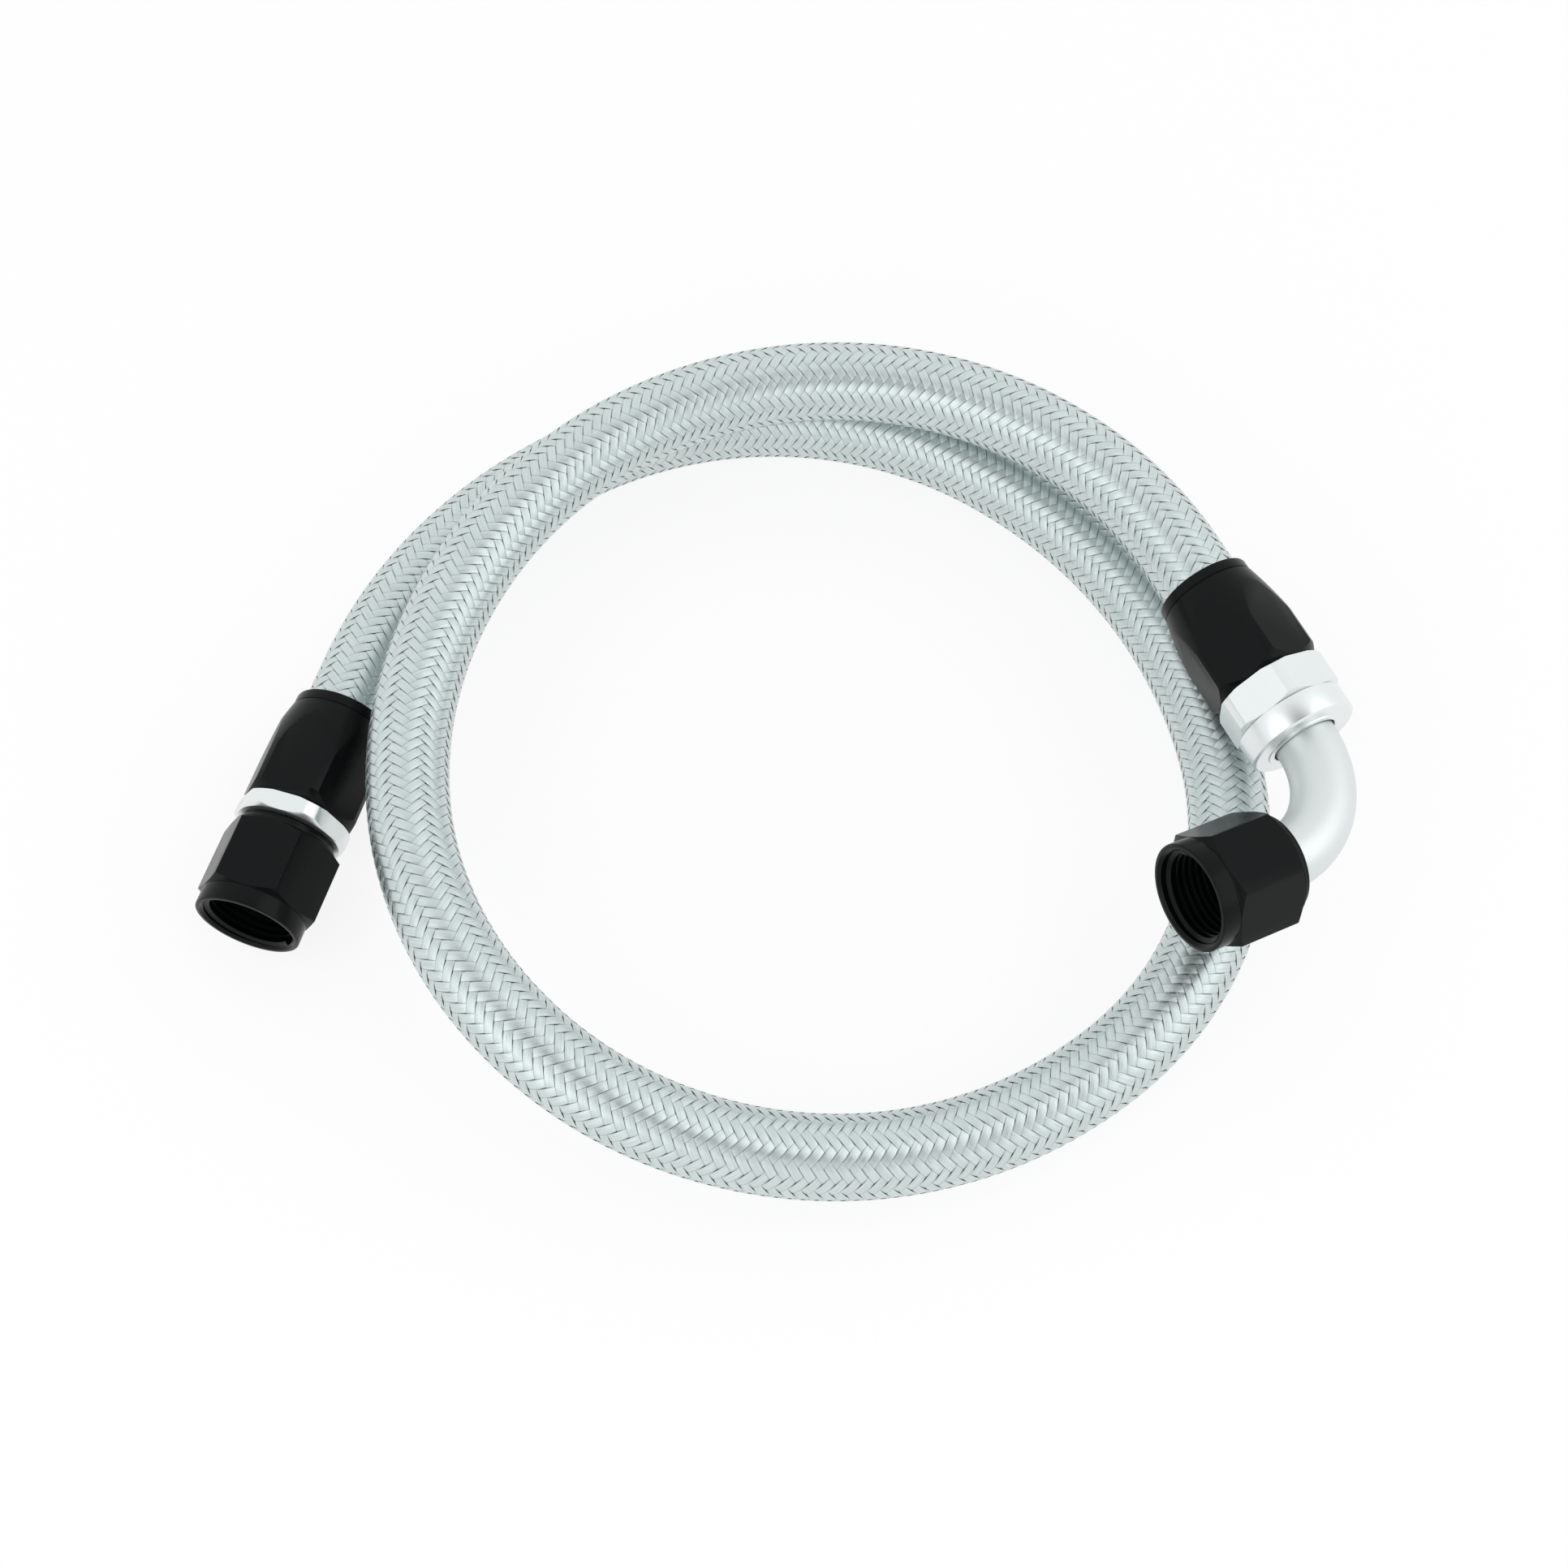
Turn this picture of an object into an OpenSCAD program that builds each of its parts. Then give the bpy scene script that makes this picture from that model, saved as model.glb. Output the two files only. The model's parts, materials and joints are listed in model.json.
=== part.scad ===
// Braided hose assembly, laid in one loose coil of nearly one and a half turns.
// One end has a straight swivel hose end, the other a 90 degree swivel hose end.
// Millimetres, +Z up, the coil lies on z = 0 and the part is centred over the origin.

/* [Hose] */
// Radius over the steel braid
hose_r = 10; // [9.6:0.1:10.4]
// Thickness of the steel braid
braid_t = 0.8; // [0.7:0.05:1]
// Thickness of the outer rubber layer
cover_t = 0.6; // [0.4:0.05:0.8]
// Thickness of the inner reinforcement
ply_t = 0.5; // [0.3:0.05:0.7]
// Thickness of the inner rubber tube
liner_t = 0.9; // [0.7:0.05:1.1]
// Straight run of hose outside the straight socket
start_lead = 12.3; // [8:0.1:14]
// Straight run of hose outside the elbow's socket
end_lead = 10; // [6:0.5:12]
// Length of hose held inside each socket
hose_grip = 20; // [16:1:22]

/* [Lay] */
// Where the hose leaves the straight socket, across
lay_x = -106.9; // [-120:0.1:-90]
// Where the hose leaves the straight socket, along
lay_y = 12.1; // [0:0.1:30]
// Height of the hose axis at the straight socket
lay_z = 13.58; // [13:0.02:15]
// Direction in which the hose leaves the straight socket
lay_heading = 73; // [60:0.5:90]
// Slope at which it leaves
lay_slope = -4; // [-4.5:0.1:-3]

/* [Sockets] */
// Length of a socket
socket_l = 30; // [28:0.5:32]
// Wall round the hose at the socket's rim
socket_rim_wall = 1.7; // [1.4:0.1:2]
// Radius over the socket's round lands
socket_land_r = 14.5; // [14.2:0.1:14.8]
// Width across the socket's flats
socket_flats = 26; // [25.5:0.1:26.5]
// Length of the socket's taper, from rim to lands
socket_taper_l = 15; // [13:0.5:17]
// Radius of the thread between socket and nipple
socket_thread_r = 11.3; // [11.1:0.1:11.6]

/* [Nipples] */
// Bore through a nipple
nipple_bore_r = 5.9; // [5.5:0.1:6.1]
// Thickness of the straight nipple's hex collar
collar_l = 4.6; // [4:0.2:6]
// Width across the straight collar's flats
collar_flats = 26; // [25.5:0.1:26.5]
// Radius to which the straight collar's corners are turned
collar_turned_r = 14.1; // [13.6:0.1:14.8]
// Spacing of the barbs on the tail
barb_pitch = 3; // [2.5:0.5:4]

/* [Nuts] */
// Outer thread radius of the coupling, 7/8 inch across
thread_major_r = 11.11; // [11:0.01:11.2]
// Thread pitch, 14 to the inch
thread_pitch = 1.814; // [1.5:0.002:2]
// Length of a nut
nut_l = 25; // [24:0.5:26]
// Width across the nut's flats
nut_flats = 26; // [25.5:0.1:27]
// Length of the round rings behind the hexagon
nut_back_l = 3.4; // [3:0.1:4.2]
// Length of the round skirt in front of the hexagon
nut_skirt_l = 4.8; // [4:0.2:6]
// Radius of the skirt
nut_skirt_r = 12.95; // [12.7:0.05:13.1]
// Thickness of the shoulder that bears on the nose
nut_shoulder_l = 4.8; // [4:0.1:5]
// Running clearance between nut and nose
nut_fit = 0.06; // [0.03:0.01:0.09]
// Gap between the straight collar and its nut's back face
straight_nut_gap = 0.3; // [0.1:0.1:2.4]

/* [Noses] */
// Radius of a nose's neck
nose_neck_r = 8.9; // [8.8:0.05:9.1]
// Radius of a nose's head
nose_head_r = 9.9; // [9.7:0.05:10]
// Length of a nose's head
nose_head_l = 4.8; // [4.2:0.1:5.2]
// Bore of a nose
nose_bore_r = 6.55; // [6.2:0.05:6.8]
// Half angle of the flare seat
seat_angle = 37; // [37:1:45]
// Radius of a retaining wire
wire_r = 0.5; // [0.4:0.05:0.55]

/* [Elbow] */
// Outside radius of the bent tube
tube_r = 7.6; // [7.4:0.02:8]
// Bend radius of the tube
tube_bend_r = 24.8; // [23.4:0.2:26]
// Straight run of tube between the gland and the bend
tube_lead = 0.6; // [0.5:0.1:4]
// Turn of the elbow in its swivel, seen along the hose
elbow_turn = -13.4; // [-16:0.2:4]
// Thickness of the elbow nipple's hex collar
elbow_collar_l = 9.2; // [8:0.1:10]
// Width across the elbow collar's flats
elbow_collar_flats = 26.2; // [25.5:0.1:27]
// Radius to which the elbow collar's corners are turned
elbow_collar_turned_r = 14.5; // [14:0.1:15.1]
// Length of the round gland
gland_l = 6.8; // [6.6:0.1:8]
// Radius of the round gland
gland_r = 13.6; // [13.4:0.1:13.8]
// Gap between the gland's lip and the tube
gland_gap = 0.5; // [0.4:0.05:0.7]
// Radius of the tube's swivel tail
tail_r = 9; // [8.9:0.05:9.2]
// Running clearance round the swivel tail
swivel_fit = 0.05; // [0.03:0.01:0.08]
// Radius of the section of a seal ring
seal_r = 0.45; // [0.4:0.05:0.5]

/* [Hidden] */
$fn = 96;

// The coil's bends in turn, each [bend radius, bend angle, roll of the bend's plane before it].
// The roll tips the bend down where it is positive, and lets the hose climb where it is negative.
route = [
    [108, 50, -5],
    [105, 55, 8.5],
    [119, 50, -5],
    [82, 60, 5.5],
    [109, 60, -19],
    [89, 60, 22],
    [104, 50, -22.5],
    [100, 55, 5.5],
    [96, 60, -1]
];

// how the flats of each piece stand round its axis
straight_hex_turn = 5.5;
straight_collar_turn = 0.5;
straight_nut_turn = 1.5;
elbow_hex_turn = 32;
elbow_collar_turn = 35.5;
elbow_nut_turn = -2;

ease = 0.1;                             // slip clearance between fixed round pieces
edge = 1;                               // chamfer on a hexagon's corners
small_edge = 0.4;                       // chamfer on a round edge
cut = 0.01;                             // overrun of a cutting shape
small_fn = 32;                          // facets round a seal's or wire's section
seam_l = 0.6;                           // band between two bends of the hose
seam_rise = 0.02;
seam_gap = 0.05;
cover_r = hose_r - braid_t;
ply_r = cover_r - cover_t;
liner_r = ply_r - ply_t;
bore_r = liner_r - liner_t;
rim_r = hose_r + ease + socket_rim_wall;
rim_band_l = 2.8;                       // plain band behind the socket's rim
socket_end_l = 2.6;                     // chamfer at the socket's wide end
barb_from = 2;                          // where the nipple's tail starts, from the socket's rim
barb_depth = 0.35;
thread_minor_r = thread_major_r - 0.5413 * thread_pitch;
body_start = hose_grip + 0.3;           // the nipple's threaded body starts just past the hose
straight_nut_at = socket_l + collar_l + straight_nut_gap;
nose_tail_l = 5.4;                      // how far the straight nose reaches into its nipple
nose_seat_at = socket_l + collar_l - nose_tail_l;
straight_seal_in = 3;                   // setback of its seal ring from the tail's end
straight_seal_at = nose_seat_at + straight_seal_in;
nut_relief_l = 5.8;                     // thread relief round the nose's head
nut_relief_r = thread_minor_r + 0.8;
thread_from = nut_shoulder_l + nut_relief_l;
thread_to = nut_l - 1.1;                // the mouth's chamfer starts here
nut_back_r = nut_flats / 2 - 0.2;       // back rings of a nut
wire_at = nut_shoulder_l / 2;
wire_ring_r = nose_neck_r + 0.02;
wire_play = 0.25;                       // room for the wire in the nut's groove
nose_head_at = nut_shoulder_l + 0.2;
tube_bore_r = nose_bore_r;
gland_at = socket_l + elbow_collar_l;
spigot_l = 3.2;                         // threaded spigot inside the gland
spigot_r = gland_r - 1.9;
flange_l = 0.7;
flange_r = spigot_r - 0.6;
end_play = 0.15;                        // on each side of the tube's flange
flange_at = gland_at + spigot_l + end_play;
thrust_at = flange_at + flange_l + end_play;
lip_l = 1.8;
gland_edge = 0.8;
lip_r = tube_r + gland_gap;
lip_at = gland_at + gland_l - lip_l;
tube_bend_at = gland_at + gland_l + tube_lead;
tail_l = 6.5;                           // how far the tube's swivel tail reaches into the nipple
tail_at = gland_at - tail_l;
tail_bore_at = tail_at - 0.4;
seal_ring_r = tail_r - seal_r - 0.05;   // the ring stands just inside the tail's surface
front_seal_at = gland_at + 1;
rear_seal_at = gland_at - 3;
elbow_nut_at = 0.3;                     // the nut's back face stands this far past the bend

// Route of the hose

function turn_z(a) = [[cos(a), -sin(a), 0, 0], [sin(a), cos(a), 0, 0], [0, 0, 1, 0], [0, 0, 0, 1]];
function turn_y(a) = [[cos(a), 0, sin(a), 0], [0, 1, 0, 0], [-sin(a), 0, cos(a), 0], [0, 0, 0, 1]];
function shift(x, y, z) = [[1, 0, 0, x], [0, 1, 0, y], [0, 0, 1, z], [0, 0, 0, 1]];

// a bend starts at the origin along +Z and turns towards +X
function bend_by(r, a) = shift(r * (1 - cos(a)), 0, r * sin(a)) * turn_y(a);
function leg_step(leg) = turn_z(leg[2]) * bend_by(leg[0], leg[1]);

start_frame = shift(lay_x, lay_y, lay_z) * turn_z(lay_heading) * turn_y(90 - lay_slope) * turn_z(-90);
coil_start = start_frame * shift(0, 0, start_lead);
legs = len(route);
frames = [
    for (i = 0, m = coil_start; i <= legs; m = i < legs ? m * leg_step(route[i]) : m, i = i + 1) m
];
end_frame = frames[legs] * shift(0, 0, end_lead);

// least gap between two strands of the coil, measured on points of its centre line
samples = 10;
line_points = [
    for (i = [0:legs - 1]) for (k = [0:samples - 1])
        let(leg = route[i])
        let(p = frames[i] * turn_z(leg[2]) * bend_by(leg[0], leg[1] * k / samples))
        [p[0][3], p[1][3], p[2][3]]
];
one_turn = round(samples * 4.5);
least_gap = min([
    for (i = [0:len(line_points) - one_turn - 1]) for (j = [i + one_turn:len(line_points) - 1])
        norm(line_points[i] - line_points[j])
]) - 2 * hose_r;
bends_length = [for (leg = route) leg[0] * leg[1] * PI / 180] * [for (leg = route) 1];
hose_length = start_lead + end_lead + 2 * hose_grip + bends_length;
echo(least_gap_between_strands = least_gap);
echo(hose_length = hose_length);

module at_start() {
    multmatrix(start_frame) rotate([180, 0, 0]) children();
}

module at_end() {
    multmatrix(end_frame) children();
}

module ring(r_out, r_in, z, h) {
    translate([0, 0, z]) difference() {
        cylinder(r = r_out, h = h);
        translate([0, 0, -cut]) cylinder(r = r_in, h = h + 2 * cut);
    }
}

// a pipe bent through an angle, from the origin along +Z towards +X
module bent_pipe(bend_r, angle, r_out, r_in) {
    translate([bend_r, 0, 0]) rotate(180, [0, 1, 1]) rotate_extrude(angle = angle) translate([bend_r, 0])
        difference() {
            circle(r = r_out);
            circle(r = r_in);
        }
}

// A bend stops just short of its neighbour, and a band a hair thicker joins the two.
module seam(r) {
    cylinder(r = r + seam_rise, h = seam_l, center = true);
}

// the solid run from bend i on, each bend standing at the end of the one before it
module bends_from(i, r, over) {
    seam(r);
    if (i < legs) {
        leg = route[i];
        short = seam_gap / leg[0] * 180 / PI;
        rotate([0, 0, leg[2]]) {
            translate([leg[0], 0, 0]) rotate(180, [0, 1, 1]) rotate([0, 0, short])
                rotate_extrude(angle = leg[1] - 2 * short) translate([leg[0], 0]) circle(r = r);
            translate([leg[0] * (1 - cos(leg[1])), 0, leg[0] * sin(leg[1])]) rotate([0, leg[1], 0])
                bends_from(i + 1, r, over);
        }
    } else {
        translate([0, 0, seam_gap]) cylinder(r = r, h = end_lead + hose_grip + over - seam_gap);
    }
}

// the hose's run as a solid rod, from inside one socket to inside the other
module hose_rod(r, over = 0) {
    translate([lay_x, lay_y, lay_z]) rotate([0, 90 - lay_slope, lay_heading]) rotate([0, 0, -90]) {
        translate([0, 0, -hose_grip - over]) cylinder(r = r, h = hose_grip + start_lead + over - seam_gap);
        translate([0, 0, start_lead]) bends_from(0, r, over);
    }
}

module hose_layer(r_out, r_in) {
    difference() {
        hose_rod(r_out);
        hose_rod(r_in, cut);
    }
}

// Shapes that the fittings share

module turned(outline) {
    rotate_extrude() polygon(outline);
}

module hex_bar(flats, z, h) {
    translate([0, 0, z]) cylinder(r = flats / 2 / cos(30), h = h, $fn = 6);
}

// a hexagon whose corners are turned round, and chamfered on the side away from the socket
module turned_hex(flats, turned_r, z, h) {
    intersection() {
        hex_bar(flats, z, h);
        turned([
            [0, z], [turned_r - small_edge, z], [turned_r, z + small_edge],
            [turned_r, z + h - edge], [flats / 2, z + h], [0, z + h]
        ]);
    }
}

module socket(hex_turn) {
    color([0.03, 0.03, 0.035]) rotate([0, 0, hex_turn]) difference() {
        intersection() {
            hex_bar(socket_flats, 0, socket_l);
            turned([
                [0, 0], [rim_r - small_edge, 0], [rim_r, small_edge], [rim_r, rim_band_l],
                [rim_r + 0.25, rim_band_l + 0.2],
                [(rim_r + socket_land_r) / 2 + 0.35, socket_taper_l * 0.6], [socket_land_r, socket_taper_l],
                [socket_land_r, socket_l - socket_end_l], [socket_flats / 2 - small_edge, socket_l],
                [0, socket_l]
            ]);
        }
        translate([0, 0, -cut]) cylinder(r = hose_r + ease, h = hose_grip + cut);
        translate([0, 0, hose_grip - cut]) cylinder(r = socket_thread_r, h = socket_l);
    }
}

// the barbed tail and threaded body that every nipple has
module nipple_tail() {
    difference() {
        union() {
            translate([0, 0, barb_from]) cylinder(r = bore_r, h = hose_grip);
            translate([0, 0, body_start]) cylinder(r = socket_thread_r, h = socket_l - body_start + cut);
        }
        for (z = [2 * barb_from:barb_pitch:hose_grip - barb_pitch])
            ring(bore_r + 1, bore_r - barb_depth, z, barb_pitch / 3);
    }
}

module nut(hex_turn) {
    hex_r = nut_flats / 2 / cos(30) + cut;
    skirt_at = nut_l - nut_skirt_l;
    color([0.03, 0.03, 0.035]) difference() {
        rotate([0, 0, hex_turn]) intersection() {
            hex_bar(nut_flats, 0, nut_l);
            turned([
                [0, 0], [nut_back_r - 1.6, 0], [nut_back_r - 1, 0.6], [nut_back_r - 1, 1.4],
                [nut_back_r - 0.2, 1.6], [nut_back_r, 2], [nut_back_r, nut_back_l - 0.9],
                [hex_r, nut_back_l + 0.4], [hex_r, skirt_at - edge], [nut_skirt_r, skirt_at],
                [nut_skirt_r, nut_l - small_edge], [nut_skirt_r - small_edge, nut_l], [0, nut_l]
            ]);
        }
        translate([0, 0, -cut]) cylinder(r = nose_neck_r + nut_fit, h = nut_l);
        translate([0, 0, nut_shoulder_l]) cylinder(r = nut_relief_r, h = nut_relief_l);
        translate([0, 0, thread_from - cut]) cylinder(r = thread_minor_r, h = nut_l);
        translate([0, 0, thread_to])
            cylinder(r1 = thread_minor_r, r2 = thread_major_r + 0.2, h = nut_l - thread_to + cut);
        rotate_extrude() translate([wire_ring_r, wire_at]) circle(r = wire_r + wire_play, $fn = small_fn);
    }
}

// nose that the nut pulls onto the mating cone; tail and tube socket differ by end
module nose(tail_from, tube_socket_r, tube_socket_to) {
    head_to = nose_head_at + nose_head_l;
    seat_r = nose_head_r - 0.5;
    seat_l = (seat_r - nose_bore_r) / tan(seat_angle);
    difference() {
        turned([
            [0, tail_from], [nose_neck_r, tail_from], [nose_neck_r, nose_head_at],
            [nose_head_r, nose_head_at], [nose_head_r, head_to - small_edge],
            [nose_head_r - 0.3, head_to], [0, head_to]
        ]);
        translate([0, 0, tail_from - cut]) cylinder(r = nose_bore_r, h = head_to - tail_from + 2 * cut);
        translate([0, 0, tail_from - cut]) cylinder(r = tube_socket_r, h = tube_socket_to - tail_from + cut);
        translate([0, 0, head_to - seat_l]) cylinder(r1 = nose_bore_r, r2 = seat_r + cut, h = seat_l + cut);
        rotate_extrude() translate([wire_ring_r, wire_at]) circle(r = wire_r + 0.05, $fn = small_fn);
    }
}

module wire_ring() {
    color("silver") rotate_extrude() translate([wire_ring_r, wire_at]) circle(r = wire_r, $fn = small_fn);
}

module seal_ring(ring_r, z) {
    color([0.02, 0.02, 0.02]) translate([0, 0, z]) rotate_extrude() translate([ring_r, 0])
        circle(r = seal_r, $fn = small_fn);
}

module seal_groove(outer_r, ring_r, z) {
    ring(outer_r + 1, ring_r - seal_r, z - seal_r - ease, 2 * (seal_r + ease));
}

// The hose, layer by layer

module hose_liner() {
    color([0.05, 0.05, 0.05]) hose_layer(liner_r, bore_r);
}

module hose_inner_braid() {
    color([0.5, 0.48, 0.42]) hose_layer(ply_r, liner_r);
}

module hose_cover_tube() {
    color([0.07, 0.07, 0.07]) hose_layer(cover_r, ply_r);
}

module hose_braid() {
    color([0.78, 0.8, 0.8]) hose_layer(hose_r, cover_r);
}

// Straight hose end, from the socket's rim outwards

module straight_socket() {
    at_start() socket(straight_hex_turn);
}

module straight_nipple() {
    color([0.8, 0.82, 0.83]) at_start() difference() {
        union() {
            nipple_tail();
            rotate([0, 0, straight_collar_turn]) turned_hex(collar_flats, collar_turned_r, socket_l, collar_l);
        }
        cylinder(r = nipple_bore_r, h = socket_l + collar_l + cut);
        translate([0, 0, nose_seat_at]) cylinder(r = nose_neck_r, h = nose_tail_l + cut);
    }
}

module straight_nose() {
    color([0.8, 0.82, 0.83]) at_start() translate([0, 0, straight_nut_at]) difference() {
        nose(nose_seat_at - straight_nut_at, nose_bore_r, 0);
        seal_groove(nose_neck_r, nose_neck_r - seal_r, straight_seal_at - straight_nut_at);
    }
}

module straight_seal_ring() {
    at_start() seal_ring(nose_neck_r - seal_r, straight_seal_at);
}

module straight_retaining_wire() {
    at_start() translate([0, 0, straight_nut_at]) wire_ring();
}

module straight_nut() {
    at_start() translate([0, 0, straight_nut_at]) nut(straight_nut_turn);
}

// 90 degree hose end, from the socket's rim outwards

module at_elbow_nut() {
    at_end() rotate([0, 0, elbow_turn]) translate([0, 0, tube_bend_at]) multmatrix(bend_by(tube_bend_r, 90))
        translate([0, 0, elbow_nut_at]) children();
}

module elbow_socket() {
    at_end() socket(elbow_hex_turn);
}

module elbow_nipple() {
    color([0.8, 0.82, 0.83]) at_end() difference() {
        union() {
            nipple_tail();
            rotate([0, 0, elbow_collar_turn])
                turned_hex(elbow_collar_flats, elbow_collar_turned_r, socket_l, elbow_collar_l);
            translate([0, 0, gland_at - cut]) cylinder(r = spigot_r, h = spigot_l + cut);
        }
        cylinder(r = nipple_bore_r, h = gland_at + spigot_l + cut);
        translate([0, 0, tail_bore_at])
            cylinder(r = tail_r + swivel_fit, h = gland_at + spigot_l - tail_bore_at + cut);
    }
}

module elbow_gland() {
    gland_to = gland_at + gland_l;
    color([0.8, 0.82, 0.83]) at_end() difference() {
        turned([
            [0, gland_at], [gland_r - small_edge, gland_at], [gland_r, gland_at + small_edge],
            [gland_r, gland_to - gland_edge], [gland_r - gland_edge, gland_to], [lip_r + 1.6, gland_to],
            [lip_r + 1.4, gland_to + small_edge], [0, gland_to + small_edge]
        ]);
        translate([0, 0, gland_at - cut]) cylinder(r = spigot_r, h = lip_at - gland_at + cut);
        translate([0, 0, gland_at]) cylinder(r = lip_r, h = gland_l + 1);
    }
}

module elbow_thrust_ring() {
    color([0.9, 0.9, 0.86]) at_end() ring(spigot_r, lip_r, thrust_at, lip_at - thrust_at);
}

module elbow_tube() {
    straight_from = flange_at + flange_l;
    tube_end = nut_shoulder_l + 1;
    color([0.8, 0.82, 0.83]) {
        at_end() rotate([0, 0, elbow_turn]) {
            difference() {
                union() {
                    translate([0, 0, tail_at]) cylinder(r = tail_r, h = flange_at - tail_at + cut);
                    translate([0, 0, flange_at]) cylinder(r = flange_r, h = flange_l);
                    translate([0, 0, straight_from - cut])
                        cylinder(r = tube_r, h = tube_bend_at - straight_from + cut);
                }
                translate([0, 0, tail_at - cut]) cylinder(r = tube_bore_r, h = tube_bend_at);
                seal_groove(tail_r, seal_ring_r, front_seal_at);
                seal_groove(tail_r, seal_ring_r, rear_seal_at);
            }
            translate([0, 0, tube_bend_at]) bent_pipe(tube_bend_r, 90, tube_r, tube_bore_r);
        }
        at_elbow_nut() ring(tube_r, tube_bore_r, -elbow_nut_at, tube_end + elbow_nut_at);
    }
}

module elbow_front_seal_ring() {
    at_end() seal_ring(seal_ring_r, front_seal_at);
}

module elbow_rear_seal_ring() {
    at_end() seal_ring(seal_ring_r, rear_seal_at);
}

module elbow_nose() {
    color([0.8, 0.82, 0.83]) at_elbow_nut() nose(0.2, tube_r, nut_shoulder_l + 1);
}

module elbow_retaining_wire() {
    at_elbow_nut() wire_ring();
}

module elbow_nut() {
    at_elbow_nut() nut(elbow_nut_turn);
}

hose_liner();
hose_inner_braid();
hose_cover_tube();
hose_braid();
straight_socket();
straight_nipple();
straight_seal_ring();
straight_nose();
straight_retaining_wire();
straight_nut();
elbow_socket();
elbow_nipple();
elbow_gland();
elbow_thrust_ring();
elbow_tube();
elbow_front_seal_ring();
elbow_rear_seal_ring();
elbow_nose();
elbow_retaining_wire();
elbow_nut();
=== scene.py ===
import json
from math import cos, pi, radians, sin

import bmesh
import bpy
import numpy as np
from mathutils import Matrix, Vector


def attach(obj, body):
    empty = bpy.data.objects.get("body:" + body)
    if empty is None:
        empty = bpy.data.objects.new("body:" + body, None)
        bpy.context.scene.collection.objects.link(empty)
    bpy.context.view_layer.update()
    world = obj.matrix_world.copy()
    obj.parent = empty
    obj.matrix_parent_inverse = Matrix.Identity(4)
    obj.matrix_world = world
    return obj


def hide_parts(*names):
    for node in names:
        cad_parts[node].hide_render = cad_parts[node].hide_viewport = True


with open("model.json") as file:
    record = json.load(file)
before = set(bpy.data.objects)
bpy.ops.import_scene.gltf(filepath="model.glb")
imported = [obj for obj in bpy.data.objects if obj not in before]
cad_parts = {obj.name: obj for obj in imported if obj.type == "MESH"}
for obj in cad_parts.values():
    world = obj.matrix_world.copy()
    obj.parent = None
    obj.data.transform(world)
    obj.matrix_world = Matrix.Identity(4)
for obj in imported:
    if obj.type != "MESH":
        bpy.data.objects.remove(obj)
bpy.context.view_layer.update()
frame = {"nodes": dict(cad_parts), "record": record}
mm = 0.001

# where things are, in millimetres and degrees, as in the part's source
lay = {
    "place": (-106.9, 12.1, 13.58), "heading": 73, "slope": -4,
    "startLead": 12.3, "endLead": 10, "grip": 20,
}
# each bend of the coil: bend radius, angle, roll before it
route = [
    (108, 50, -5), (105, 55, 8.5), (119, 50, -5), (82, 60, 5.5), (109, 60, -19),
    (89, 60, 22), (104, 50, -22.5), (100, 55, 5.5), (96, 60, -1),
]
elbow = {"turn": -13.4, "bendAt": 46.6, "bendRadius": 24.8, "nutAt": 0.3}
straightNutAt = 34.9  # from the rim of its socket


def turnZ(angle):
    return Matrix.Rotation(radians(angle), 4, "Z")


def turnY(angle):
    return Matrix.Rotation(radians(angle), 4, "Y")


def shift(x, y, z):
    return Matrix.Translation((x, y, z))


def bendBy(radius, angle):
    a = radians(angle)
    return shift(radius * (1 - cos(a)), 0, radius * sin(a)) @ turnY(angle)


startFrame = shift(*lay["place"]) @ turnZ(lay["heading"]) @ turnY(90 - lay["slope"]) @ turnZ(-90)
bendFrames = [startFrame @ shift(0, 0, lay["startLead"])]
for radius, angle, roll in route:
    bendFrames.append(bendFrames[-1] @ turnZ(roll) @ bendBy(radius, angle))
endFrame = bendFrames[-1] @ shift(0, 0, lay["endLead"])
# both ends: +Z out of the hose, origin at the socket's rim
straightEnd = startFrame @ Matrix.Diagonal((1, -1, -1, 1))
elbowEnd = endFrame
elbowFar = (endFrame @ turnZ(elbow["turn"]) @ shift(0, 0, elbow["bendAt"])
            @ bendBy(elbow["bendRadius"], 90) @ shift(0, 0, elbow["nutAt"]))
toMetres = Matrix.Scale(mm, 4)


def hoseStations(step):
    # frames along the hose that don't twist, with the distance from the straight socket's rim
    stations, travelled, rolled = [], lay["startLead"], 0
    for s in np.arange(-lay["grip"], lay["startLead"], step):
        stations.append((s, startFrame @ shift(0, 0, s)))
    for base, (radius, angle, roll) in zip(bendFrames, route):
        rolled += roll
        length = radius * radians(angle)
        count = max(2, round(length / step))
        for k in range(count):
            bent = base @ turnZ(roll) @ bendBy(radius, angle * k / count)
            stations.append((travelled + length * k / count, bent @ turnZ(-rolled)))
        travelled += length
    for s in np.arange(0, lay["endLead"] + lay["grip"] + step / 2, step):
        stations.append((travelled + s, bendFrames[-1] @ shift(0, 0, s) @ turnZ(-rolled)))
    return stations


stations = hoseStations(step=3.0)
hoseEndAt = stations[-1][0] - lay["grip"]
print("hose, rim to rim:", round(hoseEndAt, 1), "mm")

# the photograph's viewing angle, looking at a point in millimetres
view = {"target": (2.18, -0.49, 0.44), "distance": 598, "elevation": 65.5, "focal": 54.97}


def aimCamera():
    data = bpy.data.cameras.new("camera")
    data.lens = view["focal"]
    data.sensor_width = 36
    data.clip_start = 0.01
    camera = bpy.data.objects.new("camera", data)
    bpy.context.scene.collection.objects.link(camera)
    up = radians(view["elevation"])
    target = Vector(view["target"]) * mm
    camera.location = target + Vector((0, -cos(up), sin(up))) * view["distance"] * mm
    camera.rotation_euler = (pi / 2 - up, 0, 0)
    bpy.context.scene.camera = camera


aimCamera()
print("camera set")


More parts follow.
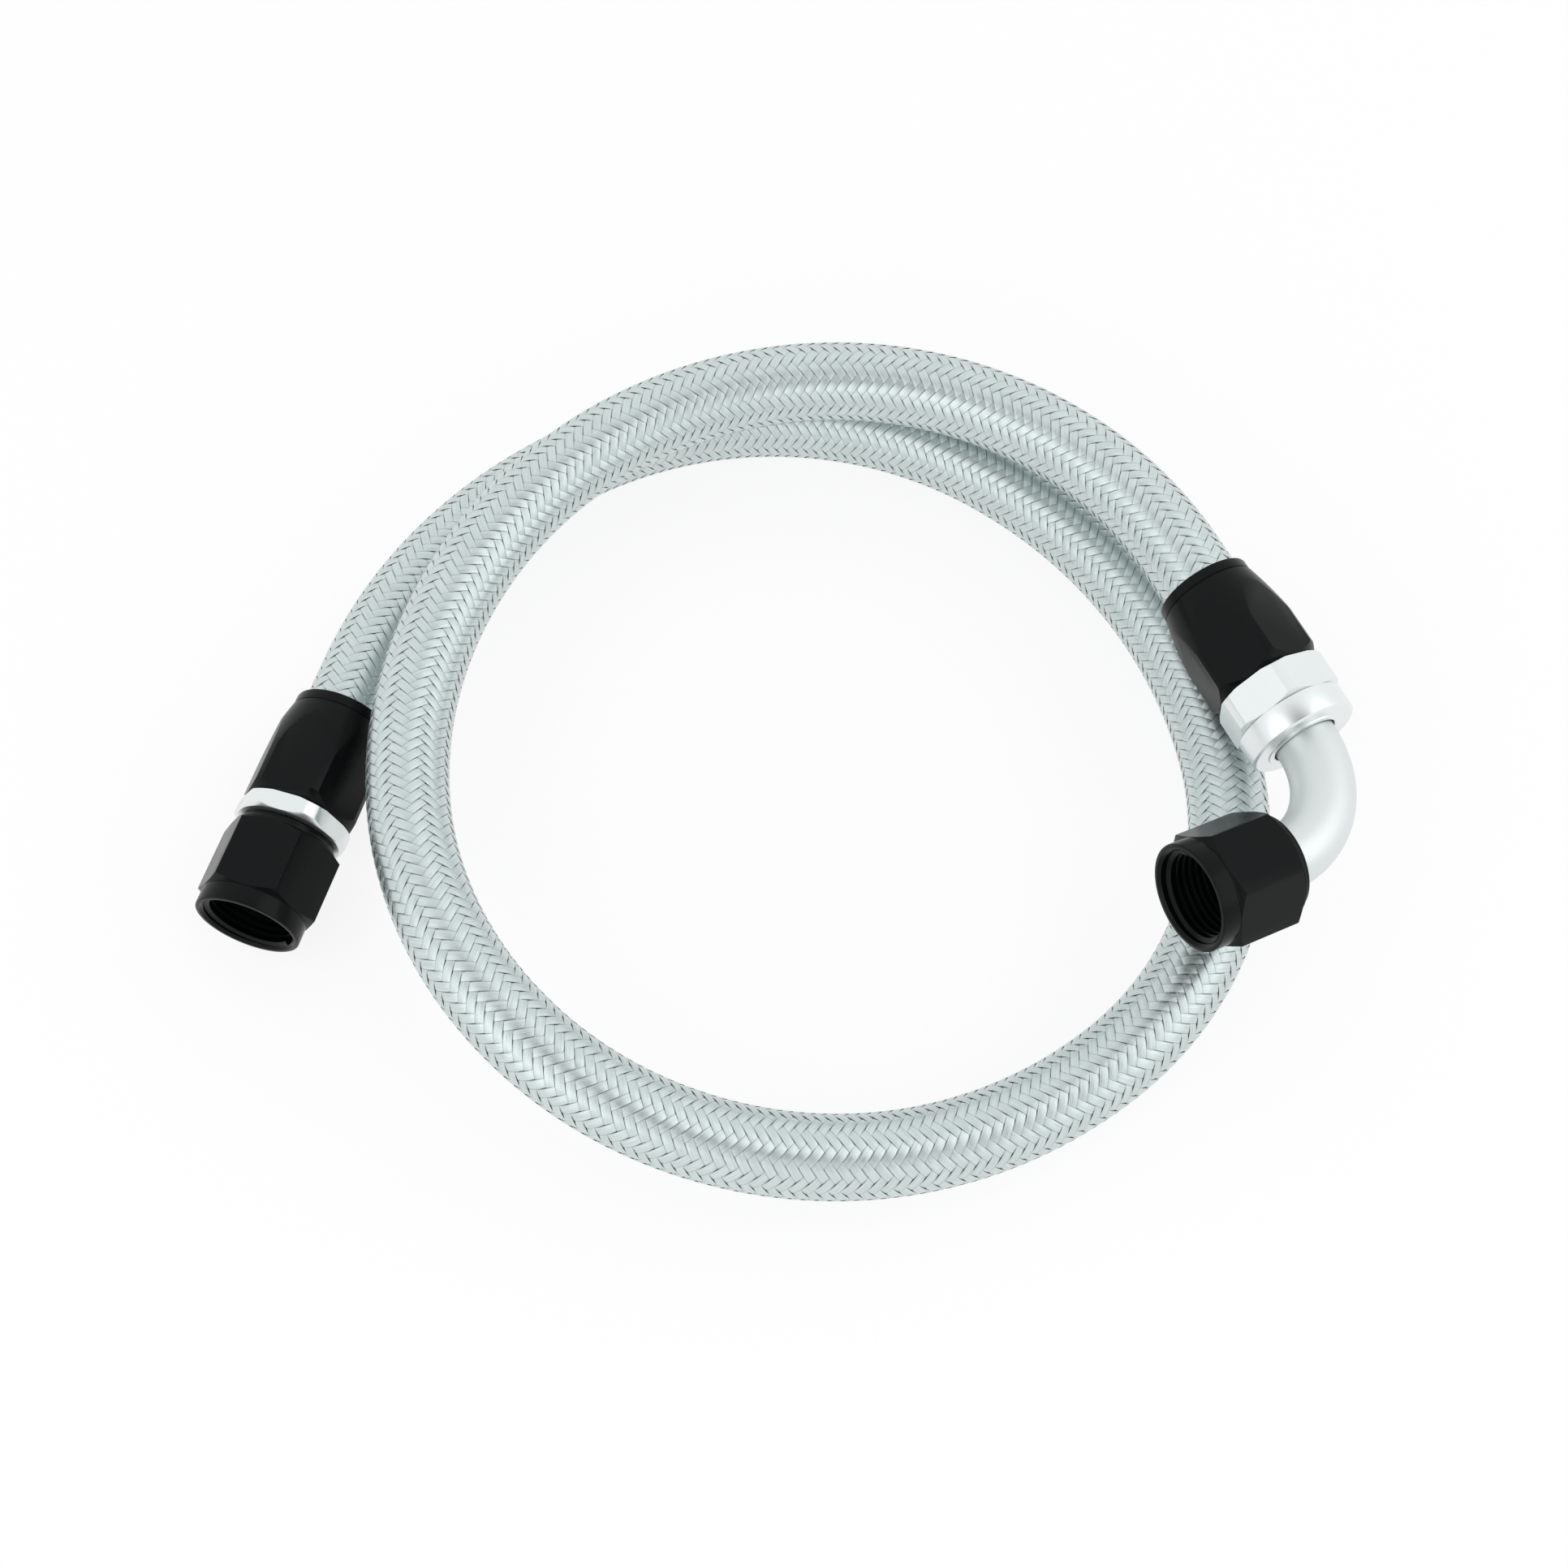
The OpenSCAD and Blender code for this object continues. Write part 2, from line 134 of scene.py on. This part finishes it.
class Flow:
    # one output in a material, usable in sums
    def __init__(self, finish, socket):
        self.finish = finish
        self.socket = socket

    def sum(self, kind, *values):
        return self.finish.node("ShaderNodeMath", {"operation": kind}, dict(enumerate(values)))

    def __add__(self, other):
        return self.sum("ADD", self, other)

    def __radd__(self, other):
        return self.sum("ADD", other, self)

    def __sub__(self, other):
        return self.sum("SUBTRACT", self, other)

    def __rsub__(self, other):
        return self.sum("SUBTRACT", other, self)

    def __mul__(self, other):
        return self.sum("MULTIPLY", self, other)

    def __rmul__(self, other):
        return self.sum("MULTIPLY", other, self)

    def __pow__(self, other):
        return self.sum("POWER", self, other)

    def __rpow__(self, other):
        return self.sum("POWER", other, self)

    def floor(self):
        return self.sum("FLOOR", self)

    def part(self):
        return self.sum("FRACT", self)

    def size(self):
        return self.sum("ABSOLUTE", self)

    def most(self, other):
        return self.sum("MAXIMUM", self, other)


class Finish:
    # a material and the nodes that feed its principled shader
    def __init__(self, name, **sockets):
        self.material = bpy.data.materials.new(name)
        self.material.use_nodes = True
        self.tree = self.material.node_tree
        self.tree.nodes.clear()
        self.shader = self.tree.nodes.new("ShaderNodeBsdfPrincipled")
        output = self.tree.nodes.new("ShaderNodeOutputMaterial")
        self.tree.links.new(self.shader.outputs[0], output.inputs[0])
        self.feed(self.shader, sockets)

    def feed(self, node, sockets):
        for key, value in sockets.items():
            target = node.inputs[key.replace("_", " ") if isinstance(key, str) else key]
            if isinstance(value, Flow):
                self.tree.links.new(value.socket, target)
            elif target.type == "RGBA" and len(value) == 3:
                target.default_value = (*value, 1)
            else:
                target.default_value = value

    def node(self, kind, settings=None, sockets=None, output=0):
        made = self.tree.nodes.new(kind)
        for key, value in (settings or {}).items():
            setattr(made, key, value)
        self.feed(made, sockets or {})
        return Flow(self, made.outputs[output])

    def set(self, **sockets):
        self.feed(self.shader, sockets)

    def place(self):
        return self.node("ShaderNodeTexCoord", output="Object")

    def noise(self, scale, detail, roughness, vector, dimensions="3D"):
        sockets = {"Scale": scale, "Detail": detail, "Roughness": roughness, "Vector": vector}
        return self.node("ShaderNodeTexNoise", {"noise_dimensions": dimensions}, sockets)

    def spread(self, value, low, high, toLow, toHigh):
        limits = {"From Min": low, "From Max": high, "To Min": toLow, "To Max": toHigh}
        return self.node("ShaderNodeMapRange", {"clamp": True}, {"Value": value, **limits})

    def blend(self, amount, a, b, kind="MIX"):
        settings = {"data_type": "RGBA", "blend_type": kind}
        return self.node("ShaderNodeMix", settings, {0: amount, 6: a, 7: b}, output=2)

    def bump(self, height, distance, strength):
        sockets = {"Height": height, "Distance": distance, "Strength": strength}
        return self.node("ShaderNodeBump", None, sockets)


# carriers are the ribbons each way round; lead and heights are in millimetres, width is in crossings,
# and samples are for every four crossings
braid = {
    "carriers": 16, "lead": 45.0, "width": 0.975, "wires": 9,
    "middle": 9.62, "swing": 0.19, "thick": 0.13, "crown": 0.09,
    "samples": 8, "perPiece": 8, "coverBelow": 0.36,
}
wire = {
    "colour": (0.672, 0.752, 0.745), "metal": 0.8, "specular": 0.4, "rough": (0.27, 0.37),
    "light": 0.82, "streaks": 0.14, "tones": 0.10, "ribbonEdgeShade": 0.38, "wireGrooveShade": 0.84,
    "relief": 0.00006, "reliefShare": 0.45,
}


def braidFinish():
    # every ribbon shows its single wires, with streaks along each; painted shade darkens each ribbon's side
    # edges and the grooves between its wires
    f = Finish("braidWire", Metallic=wire["metal"], Specular_IOR_Level=wire["specular"])
    strand = f.node("ShaderNodeUVMap", {"uv_map": "strand"})
    along = f.node("ShaderNodeSeparateXYZ", None, {0: strand}, output=0)
    across = f.node("ShaderNodeSeparateXYZ", None, {0: strand}, output=1)
    inStrand = across.part()
    inWire = (inStrand * braid["wires"]).part() - 0.5
    wireId = (across * braid["wires"]).floor()
    roundTop = (1 - 4 * inWire * inWire).most(0.0) ** 0.5
    stretched = f.node("ShaderNodeCombineXYZ", None, {0: along * 0.7, 1: wireId * 3.7})
    streak = f.noise(1.0, 1.0, 0.5, stretched, "2D")
    tone = f.node("ShaderNodeTexWhiteNoise", {"noise_dimensions": "1D"}, {"W": wireId})
    # painted shade: each ribbon darkens towards its side edges, where it dips under its neighbours
    ribbonEdgeShade = f.spread((inStrand - 0.5).size(), 0.42, 0.5, 1.0, wire["ribbonEdgeShade"])
    # painted shade: each wire darkens towards its sides, in the grooves between neighbouring wires
    wireGrooveShade = f.spread(roundTop, 0.0, 0.75, wire["wireGrooveShade"], 1.0)
    # the wires' own tone and random streaks, times the painted shade of ribbon edges and wire grooves
    light = (wire["light"] + wire["streaks"] * streak + wire["tones"] * tone) * ribbonEdgeShade * wireGrooveShade
    grey = f.node("ShaderNodeCombineColor", None, {0: light, 1: light, 2: light})
    f.set(Base_Color=f.blend(1.0, wire["colour"], grey, "MULTIPLY"),
          Roughness=f.spread(streak, 0.3, 0.7, *wire["rough"]),
          Normal=f.bump(roundTop, wire["relief"], wire["reliefShare"]))
    return f.material


black = {"colour": (0.0022, 0.0028, 0.0031), "specular": 0.13, "rough": (0.22, 0.29), "relief": 0.00001}
silver = {"colour": (0.83, 0.86, 0.858), "rough": (0.27, 0.34), "relief": 0.00001}
satin = {"colour": (0.75, 0.79, 0.785), "rough": (0.44, 0.52), "relief": 0.00001}


def darker(colour, share):
    return tuple(c * share for c in colour)


def blackAnodised():
    f = Finish("blackAnodised", Base_Color=black["colour"], IOR=1.5, Specular_IOR_Level=black["specular"])
    place = f.place()
    fine = f.noise(900, 3, 0.6, place)
    broad = f.noise(60, 2, 0.5, place)
    f.set(Roughness=f.spread(broad, 0.3, 0.7, *black["rough"]), Normal=f.bump(fine, black["relief"], 0.15))
    return f.material


def silverAnodised(name, look):
    f = Finish(name, Metallic=0.9)
    place = f.place()
    fine = f.noise(1500, 3, 0.6, place)
    broad = f.noise(80, 2, 0.5, place)
    f.set(Base_Color=f.blend(broad, darker(look["colour"], 0.96), look["colour"]),
          Roughness=f.spread(broad, 0.3, 0.7, *look["rough"]), Normal=f.bump(fine, look["relief"], 0.2))
    return f.material


def plain(name, colour, rough, grain, relief, **more):
    f = Finish(name, **more)
    fine = f.noise(grain, 3, 0.6, f.place())
    f.set(Base_Color=f.blend(fine, darker(colour, 0.8), colour),
          Roughness=f.spread(fine, 0.3, 0.7, rough - 0.05, rough + 0.05), Normal=f.bump(fine, relief, 0.4))
    return f.material


finishes = {
    "steel_braid": braidFinish(),
    "rubber": plain("rubber", (0.03, 0.03, 0.03), 0.7, 1200, 0.00003),
    "cotton": plain("cottonPly", (0.55, 0.52, 0.46), 0.9, 2500, 0.00008),
    "black_anodised": blackAnodised(),
    "silver_anodised": silverAnodised("silverAnodised", silver),
    "satin_silver": silverAnodised("satinSilver", satin),
    "nylon": plain("nylon", (0.85, 0.85, 0.8), 0.5, 900, 0.00001),
    "steel_wire": plain("wireRing", (0.6, 0.6, 0.6), 0.35, 1500, 0.00001, Metallic=1.0),
}
slots = {row["node"]: row["material_slot"] for row in frame["record"]["subparts"]}
for name, obj in frame["nodes"].items():
    obj.data.materials.clear()
    obj.data.materials.append(finishes[slots[name]])
print("finishes made")


def addPiece(name, work, finish, body, replaced):
    mesh = bpy.data.meshes.new(name)
    work.to_mesh(mesh)
    work.free()
    mesh.materials.append(finishes[finish])
    obj = bpy.data.objects.new(name, mesh)
    bpy.context.scene.collection.objects.link(obj)
    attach(obj, body)
    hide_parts(replaced)
    return obj


def smoothBelow(work, angle):
    limit = radians(angle)
    for face in work.faces:
        face.smooth = True
    for edge in work.edges:
        edge.smooth = len(edge.link_faces) == 2 and edge.calc_face_angle(pi) < limit


# the hose's axis as arrays, so that many points are placed at once
track = np.array([[list(row) for row in station[1]] for station in stations])
trackAt = np.array([station[0] for station in stations])


def onHose(s, around, away):
    # points at a distance along the hose, an angle round it and a radius from its axis
    k = np.clip(np.searchsorted(trackAt, s) - 1, 0, len(trackAt) - 2)
    t = ((s - trackAt[k]) / (trackAt[k + 1] - trackAt[k]))[:, None]
    gap = (trackAt[k + 1] - trackAt[k])[:, None]
    p0, p1 = track[k, :3, 3], track[k + 1, :3, 3]
    z0, z1 = track[k, :3, 2], track[k + 1, :3, 2]
    # a cubic between stations keeps the bends round
    point = ((2 * t**3 - 3 * t**2 + 1) * p0 + (t**3 - 2 * t**2 + t) * gap * z0
             + (3 * t**2 - 2 * t**3) * p1 + (t**3 - t**2) * gap * z1)
    x = (1 - t) * track[k, :3, 0] + t * track[k + 1, :3, 0]
    y = (1 - t) * track[k, :3, 1] + t * track[k + 1, :3, 1]
    x /= np.linalg.norm(x, axis=1)[:, None]
    y /= np.linalg.norm(y, axis=1)[:, None]
    return (point + away[:, None] * (np.cos(around)[:, None] * x + np.sin(around)[:, None] * y)) * mm


def moveAll(work, places):
    for vertex, place in zip(work.verts, places):
        vertex.co = place


def makeCover():
    # rubber tube that shows, dark, between the braid's strands
    steps = len(stations) - 1
    around = 48
    work = bmesh.new()
    bmesh.ops.create_grid(work, x_segments=steps, y_segments=around, size=0.5)
    co = np.array([v.co for v in work.verts])
    s = trackAt[np.clip(np.round((co[:, 0] + 0.5) * steps).astype(int), 0, steps)]
    away = np.full(len(co), braid["middle"] - braid["coverBelow"])
    moveAll(work, onHose(s, (co[:, 1] + 0.5) * 2 * pi, away))
    bmesh.ops.remove_doubles(work, verts=work.verts, dist=1e-6)
    bmesh.ops.holes_fill(work, edges=[e for e in work.edges if e.is_boundary], sides=0)
    bmesh.ops.recalc_face_normals(work, faces=work.faces)
    smoothBelow(work, 40)
    return addPiece("hose_cover", work, "rubber", "hose", "hose_cover_tube")


def weave(x):
    # +1 on top and -1 underneath, two crossings long each
    c = np.cos(pi * (x - 0.5) / 2)
    return c * (1.5 - 0.5 * c * c)


def makeStrands(name, hand, first, count):
    # ribbons of wire, each a closed strip; hand +1 or -1 is the way they wind
    n, lead = braid["carriers"], braid["lead"]
    fromStep, toStep = -3.0, (hoseEndAt + 4) * 2 * n / lead  # the ends hide in the sockets
    steps = round((toStep - fromStep) * braid["samples"] / 4)
    half = braid["width"] / 2
    # the strip's section: across, height; the last point is underneath
    section = [(-1, 0), (-0.55, 0.8), (0, 1), (0.55, 0.8), (1, 0), (0, -1)]
    closed = np.array(section + section[:1])
    work = bmesh.new()
    for _ in range(count):
        bmesh.ops.create_grid(work, x_segments=steps, y_segments=len(section), size=0.5)
    co = np.array([v.co for v in work.verts])
    strand = np.repeat(np.arange(first, first + count), len(co) // count)
    row = np.round((co[:, 1] + 0.5) * len(section)).astype(int)
    across = closed[row, 0] * half
    lift = closed[row, 1]
    run = fromStep + (co[:, 0] + 0.5) * (toStep - fromStep)  # counted in crossings
    around = 2 * pi * (2 * strand + hand * (run + across)) / (2 * n)
    high = (braid["middle"] + braid["swing"] * hand * weave(2 * strand + hand * run)
            + np.where(lift > 0, lift * braid["crown"], lift * braid["thick"]))
    moveAll(work, onHose(lead * (run - across) / (2 * n), around, high))
    layer = work.loops.layers.uv.new("strand")
    # one unit of the map for each ribbon, 50 further on for those that wind the other way
    for face in work.faces:
        rows = [row[loop.vert.index] for loop in face.loops]
        top = max(rows) <= 4
        for loop in face.loops:
            i = loop.vert.index
            v = 0.5 + (across[i] / half) * 0.5 * 0.999 if top else 0.001
            loop[layer].uv = (run[i], strand[i] + 50 * (hand > 0) + v)
    bmesh.ops.remove_doubles(work, verts=work.verts, dist=1e-6)
    bmesh.ops.holes_fill(work, edges=[e for e in work.edges if e.is_boundary], sides=0)
    bmesh.ops.recalc_face_normals(work, faces=work.faces)
    smoothBelow(work, 60)
    return addPiece(name, work, "steel_braid", "hose", "hose_braid")


cover = makeCover()
for hand, side in ((1, "right"), (-1, "left")):
    for first in range(0, braid["carriers"], braid["perPiece"]):
        makeStrands(f"braid_{side}_{first}", hand, first, braid["perPiece"])
        print("strands", side, first, "made")

(hoseEndAt + 2 * lay["grip"]) * mm
print("hose made")


def isHexCorner(edge):
    if len(edge.link_faces) != 2:
        return False
    tall = abs(edge.verts[0].co.z - edge.verts[1].co.z) > 5
    return tall and abs(edge.calc_face_angle(0) - pi / 3) < 0.02


def turnAndCut(outline, flats, hexTurn, soften=0.0):
    # a closed outline of radius and height spun round, then cut to six flats
    work = bmesh.new()
    verts = [work.verts.new((r, 0, z)) for r, z in outline]
    edges = [work.edges.new((v, verts[(i + 1) % len(verts)])) for i, v in enumerate(verts)]
    bmesh.ops.spin(work, geom=verts + edges, axis=(0, 0, 1), cent=(0, 0, 0), angle=2 * pi,
                   steps=roundSteps, use_merge=True)
    for i in range(6 if flats else 0):
        a = radians(60 * i + 30)
        away = Vector((cos(a), sin(a), 0))
        bmesh.ops.bisect_plane(work, geom=work.verts[:] + work.edges[:] + work.faces[:], dist=1e-5,
                               plane_co=away * flats / 2, plane_no=away, clear_outer=True)
        bmesh.ops.holes_fill(work, edges=[e for e in work.edges if e.is_boundary], sides=0)
    bmesh.ops.recalc_face_normals(work, faces=work.faces)
    if soften:
        corners = [e for e in work.edges if isHexCorner(e)]
        bmesh.ops.bevel(work, geom=corners, offset=soften, segments=3, profile=0.5,
                        affect="EDGES", material=-1)
    turn = Matrix.Rotation(radians(hexTurn), 3, "Z")
    bmesh.ops.rotate(work, verts=work.verts, cent=(0, 0, 0), matrix=turn)
    return work


def putAt(work, where):
    # from millimetres about the end's own axis to metres in the shared frame
    bmesh.ops.transform(work, matrix=toMetres @ where, verts=work.verts)
    bmesh.ops.recalc_face_normals(work, faces=work.faces)
    smoothBelow(work, 24)
    return work


def curve(a, b, c, count=9):
    # points on a soft curve from a to c, drawn towards b
    ts = [i / count for i in range(1, count)]
    return [tuple((1 - t) ** 2 * p + 2 * t * (1 - t) * q + t * t * r for p, q, r in zip(a, b, c)) for t in ts]


# radii and heights in millimetres, heights from the socket's rim
roundSteps = 120
hexTurns = {
    "straight_socket": 5.5, "straight_nipple": 0.5, "straight_nut": 1.5,
    "elbow_socket": 32, "elbow_nipple": 35.5, "elbow_nut": -2,
}
socket = {
    "length": 30, "rim": 11.8, "land": 14.5, "flats": 26, "taperTo": 17.2, "endFrom": 27.4,
    "hose": 10.1, "bore": 11.3, "boreFrom": 20, "crown": 1.95, "crownAt": 10.4,
}


def socketOutline():
    q = socket
    foot, shoulder = (q["rim"] + 0.2, 3.1), (q["land"], q["taperTo"])
    bead = [
        (q["hose"], 0.5), (q["hose"] + 0.35, 0.08), (q["hose"] + 0.6, 0), (q["rim"] - 0.45, 0),
        (q["rim"] - 0.13, 0.13), (q["rim"], 0.45), (q["rim"], 2.55), (q["rim"] - 0.16, 2.7),
        (q["rim"] - 0.16, 2.9), foot,
    ]
    taper = curve(foot, (q["rim"] + q["crown"], q["crownAt"]), shoulder) + [shoulder]
    end = [
        (q["land"], q["endFrom"] - 0.3), (q["land"] - 0.12, q["endFrom"] + 0.1),
        (12.75, q["length"] - 0.25), (12.45, q["length"]), (q["bore"], q["length"]),
        (q["bore"], q["boreFrom"]), (q["hose"], q["boreFrom"]),
    ]
    return bead + taper + end


nut = {
    "length": 25, "flats": 26, "corner": 15.02, "soften": 0.22,
    "back": 12.8, "skirt": 12.95, "skirtAt": 20.2, "neck": 8.97, "shoulder": 4.8, "relief": 11.3,
    "threadFrom": 10.6, "root": 11.15, "crest": 10.13, "pitch": 1.814, "turns": 6.9,
}


def nutOutline():
    q = nut
    back = [
        (q["neck"], 0.3), (q["neck"] + 0.25, 0), (11.25, 0), (11.6, 0.15), (11.8, 0.5), (11.8, 1.25),
        (11.7, 1.4), (12.3, 1.45), (12.66, 1.6), (q["back"], 1.9), (q["back"], 2.3), (12.9, 2.45),
    ]
    side = [(q["corner"], 3.75), (q["corner"], 19.25), (13.1, 20.12)]
    skirt = [
        (q["skirt"], q["skirtAt"]), (q["skirt"] - 0.1, q["skirtAt"] + 0.1),
        (q["skirt"], q["skirtAt"] + 0.3), (q["skirt"], q["length"] - 0.55),
        (12.87, q["length"] - 0.22), (12.6, q["length"] - 0.04), (12.35, q["length"]),
    ]
    bore = [
        (11.9, q["length"]), (11.72, q["length"] - 0.1), (q["root"], q["length"] - 0.65),
        (q["root"], q["threadFrom"]), (q["relief"], q["threadFrom"] - 0.2),
        (q["relief"], q["shoulder"] + 0.2), (q["relief"] - 0.2, q["shoulder"]), (q["neck"], q["shoulder"]),
    ]
    return back + side + skirt + bore


def addThread(work):
    # the internal thread, one ridge wound up the bore and closed at both ends
    q = nut
    perTurn = 64
    ground = q["root"] + 0.13  # the ridge stands a little in the wall
    section = [(ground, -0.82), (q["crest"], -0.2), (q["crest"], 0.2), (ground, 0.82)]
    start = q["threadFrom"] + 0.5
    verts = [work.verts.new((r, 0, start + z)) for r, z in section]
    edges = [work.edges.new((v, verts[(i + 1) % 4])) for i, v in enumerate(verts)]
    wound = bmesh.ops.spin(work, geom=verts + edges, axis=(0, 0, 1), cent=(0, 0, 0),
                           angle=2 * pi * q["turns"], steps=round(q["turns"] * perTurn),
                           dvec=(0, 0, q["pitch"] / perTurn))
    for ring in (verts, [v for v in wound["geom_last"] if isinstance(v, bmesh.types.BMVert)]):
        bmesh.ops.contextual_create(work, geom=ring)


nipple = {
    "bore": 5.9, "tail": 6.85, "barb": 7.2, "thread": 11.3,
    "tailFrom": 2, "bodyFrom": 20.2, "collarFrom": 30,
}
straightCollar = {"flats": 26, "turned": 14.1, "end": 34.6, "seat": 8.92, "boreTo": 29.2}
elbowCollar = {
    "flats": 26.2, "turned": 14.5, "end": 39.2, "seat": 9.05, "boreTo": 32.3,
    "thread": 11.7, "threadTo": 42.4,
}


def tailOutline():
    # a nipple's bore, barbed tail and threaded body, up to the collar
    q = nipple
    barbs = [(q["tail"], q["tailFrom"]), (7.0, 2.6)]
    for z in range(4, 18, 3):
        barbs += [(q["barb"], z), (q["tail"], z + 0.05), (q["tail"], z + 0.9)]
    body = [(q["barb"], q["bodyFrom"]), (q["thread"], q["bodyFrom"] + 0.1), (q["thread"], q["collarFrom"])]
    return [(q["bore"], q["tailFrom"])] + barbs + body


def straightNippleOutline():
    q = straightCollar
    return tailOutline() + [
        (13.4, nipple["collarFrom"]), (q["turned"], 30.4), (q["turned"], 33.75), (13.15, 34.45),
        (12.9, q["end"]), (9.2, q["end"]), (q["seat"], 34.35), (q["seat"], q["boreTo"]),
        (nipple["bore"], q["boreTo"]),
    ]


def elbowNippleOutline():
    q = elbowCollar
    return tailOutline() + [
        (13.6, nipple["collarFrom"]), (q["turned"], 30.5), (q["turned"], 38.45), (13.3, 39.1),
        (13.05, q["end"]), (q["thread"], q["end"]), (q["thread"], q["threadTo"]),
        (q["seat"], q["threadTo"]), (q["seat"], q["boreTo"]), (nipple["bore"], q["boreTo"]),
    ]


glandOutline = [
    (11.7, 39.2), (13.3, 39.2), (13.6, 39.45), (13.6, 45.25), (13.5, 45.5), (12.95, 45.95), (12.7, 46.0),
    (10.0, 46.0), (9.75, 46.05), (9.55, 46.35), (9.4, 46.4), (8.35, 46.4), (8.12, 46.2), (8.12, 44.2),
    (11.7, 44.2),
]


def makeTurned(node, outline, flats, where, finish):
    work = turnAndCut(outline, flats, hexTurns.get(node, 0))
    addPiece(node + "_turned", putAt(work, where), finish, "hose", node)


def makeNut(node, where):
    work = turnAndCut(nutOutline(), nut["flats"], hexTurns[node], nut["soften"])
    addThread(work)
    addPiece(node + "_threaded", putAt(work, where), "black_anodised", node, node)


makeTurned("straight_socket", socketOutline(), socket["flats"], straightEnd, "black_anodised")
makeTurned("elbow_socket", socketOutline(), socket["flats"], elbowEnd, "black_anodised")
makeTurned("straight_nipple", straightNippleOutline(), straightCollar["flats"], straightEnd,
           "silver_anodised")
makeTurned("elbow_nipple", elbowNippleOutline(), elbowCollar["flats"], elbowEnd, "silver_anodised")
makeTurned("elbow_gland", glandOutline, None, elbowEnd, "silver_anodised")
makeNut("straight_nut", straightEnd @ shift(0, 0, straightNutAt))
makeNut("elbow_nut", elbowFar)
print("hose ends made")

studio = {
    "sky": 1.0, "tint": (0.985, 1.0, 1.0), "dark": 0.12, "darkWithin": 6, "skyFrom": 38,
    "floorSize": 6, "floorColour": (0.95, 0.95, 0.95, 1), "floorGlow": 0.86,
    "lamps": [  # place, size, watts
        ((-0.55, -0.75, 0.85), 1.3, 3.2),
        ((0.85, -0.1, 0.75), 1.2, 2.2),
    ],
}


def makeStage():
    work = bmesh.new()
    bmesh.ops.create_grid(work, x_segments=1, y_segments=1, size=studio["floorSize"])
    mesh = bpy.data.meshes.new("floor")
    work.to_mesh(mesh)
    work.free()
    floor = bpy.data.objects.new("floor", mesh)
    bpy.context.scene.collection.objects.link(floor)
    floor.location.z = -0.0001  # clear of the lowest wires
    material = bpy.data.materials.new("floorPaper")
    material.use_nodes = True
    tree = material.node_tree
    tree.nodes.clear()
    out = tree.nodes.new("ShaderNodeOutputMaterial")
    paper = tree.nodes.new("ShaderNodeBsdfDiffuse")
    paper.inputs["Color"].default_value = studio["floorColour"]
    glow = tree.nodes.new("ShaderNodeEmission")
    rays = tree.nodes.new("ShaderNodeLightPath")
    direct, seen, share = [tree.nodes.new("ShaderNodeMath") for _ in range(3)]
    direct.operation = "MAXIMUM"
    seen.operation = "MAXIMUM"
    share.operation = "MULTIPLY"
    share.inputs[1].default_value = studio["floorGlow"]  # the rest keeps the shadow
    mix = tree.nodes.new("ShaderNodeMixShader")
    for giver, taker in (
        (rays.outputs["Is Camera Ray"], direct.inputs[0]), (rays.outputs["Is Glossy Ray"], direct.inputs[1]),
        (direct.outputs[0], seen.inputs[0]), (rays.outputs["Is Transmission Ray"], seen.inputs[1]),
        (seen.outputs[0], share.inputs[0]), (share.outputs[0], mix.inputs[0]),
        (paper.outputs[0], mix.inputs[1]), (glow.outputs[0], mix.inputs[2]), (mix.outputs[0], out.inputs[0]),
    ):
        tree.links.new(giver, taker)
    mesh.materials.append(material)


def lightStudio():
    world = bpy.data.worlds.new("studio")
    bpy.context.scene.world = world
    world.use_nodes = True
    tree = world.node_tree
    # the sky is dark round the camera, as a dark room is behind a photographer
    up = radians(view["elevation"])
    ahead = tree.nodes.new("ShaderNodeTexCoord")
    towards = tree.nodes.new("ShaderNodeVectorMath")
    towards.operation = "DOT_PRODUCT"
    towards.inputs[1].default_value = (0, -cos(up), sin(up))
    tree.links.new(ahead.outputs["Generated"], towards.inputs[0])
    fall = tree.nodes.new("ShaderNodeMapRange")
    fall.interpolation_type = "SMOOTHSTEP"
    fall.inputs["From Min"].default_value = cos(radians(studio["skyFrom"]))
    fall.inputs["From Max"].default_value = cos(radians(studio["darkWithin"]))
    fall.inputs["To Min"].default_value = studio["sky"]
    fall.inputs["To Max"].default_value = studio["dark"]
    tree.links.new(towards.outputs["Value"], fall.inputs["Value"])
    tint = tree.nodes.new("ShaderNodeVectorMath")
    tint.operation = "SCALE"
    tint.inputs[0].default_value = studio["tint"]
    tree.links.new(fall.outputs[0], tint.inputs["Scale"])
    tree.links.new(tint.outputs[0], tree.nodes["Background"].inputs["Color"])
    for spot, size, watts in studio["lamps"]:
        data = bpy.data.lights.new("softbox", "AREA")
        data.shape = "DISK"
        data.size = size
        data.energy = watts
        lamp = bpy.data.objects.new("softbox", data)
        bpy.context.scene.collection.objects.link(lamp)
        lamp.location = spot
        lamp.rotation_euler = (-Vector(spot)).to_track_quat("-Z", "Y").to_euler()


makeStage()
lightStudio()
bpy.context.scene.view_settings.view_transform = "Standard"
print("studio set")
